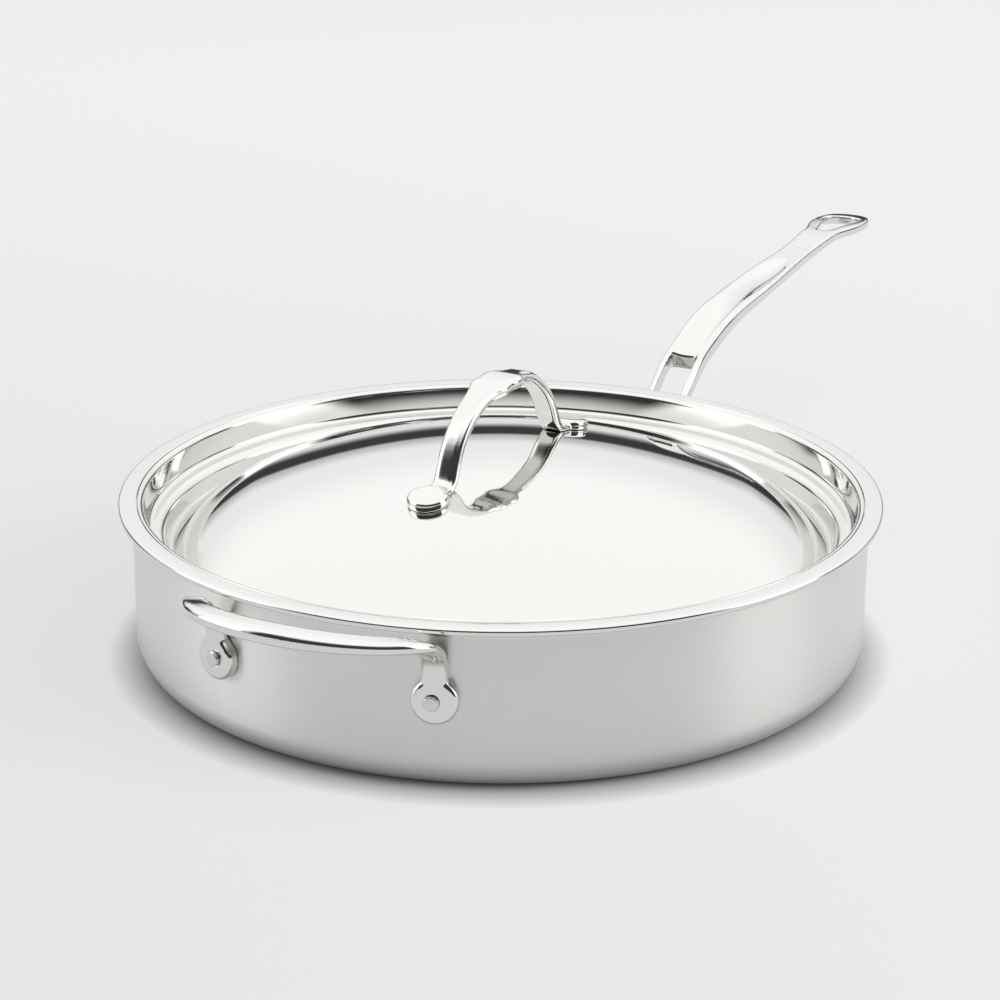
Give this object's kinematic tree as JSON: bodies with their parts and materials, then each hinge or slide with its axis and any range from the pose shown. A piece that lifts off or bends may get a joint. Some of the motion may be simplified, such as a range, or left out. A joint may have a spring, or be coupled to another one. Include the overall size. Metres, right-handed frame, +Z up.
{
  "type": "saute pan with lid",
  "caption": "Wide low straight-sided saute pan in bonded steel, with a long riveted handle, a small helper handle and a nested domed lid with a strap handle.",
  "frame": {"origin": "centre of the base, on the surface that the pan stands on", "axes": "+Z up along the pan's axis, +X along the long handle, so the helper handle is at -X"},
  "size_m": [0.6139, 0.32, 0.1196],
  "materials": {
    "satin_steel": "satin, fine lines round the wall",
    "lining_steel": "polished rim, satin inside",
    "core_aluminium": "plain, bonded between two skins",
    "polished_lid": "mirror polished",
    "cast_handle_steel": "cast and mirror polished",
    "rivet_steel": "satin"
  },
  "bodies": {
    "pan": {"pan_outer_skin": "satin_steel", "pan_core": "core_aluminium", "pan_inner_skin": "lining_steel", "long_handle": "cast_handle_steel", "long_handle_rivet_left": "rivet_steel", "long_handle_rivet_right": "rivet_steel", "helper_handle": "cast_handle_steel", "helper_rivet_left": "rivet_steel", "helper_rivet_right": "rivet_steel"},
    "lid": {"lid_shell": "polished_lid", "lid_handle": "cast_handle_steel", "lid_rivet_rear": "rivet_steel", "lid_rivet_front": "rivet_steel"}
  },
  "joints": [
    {"name": "lid_lift", "type": "slide", "parent": "pan", "child": "lid", "axis": [0, 0, 1], "range_m": [0, 0.18]}
  ]
}
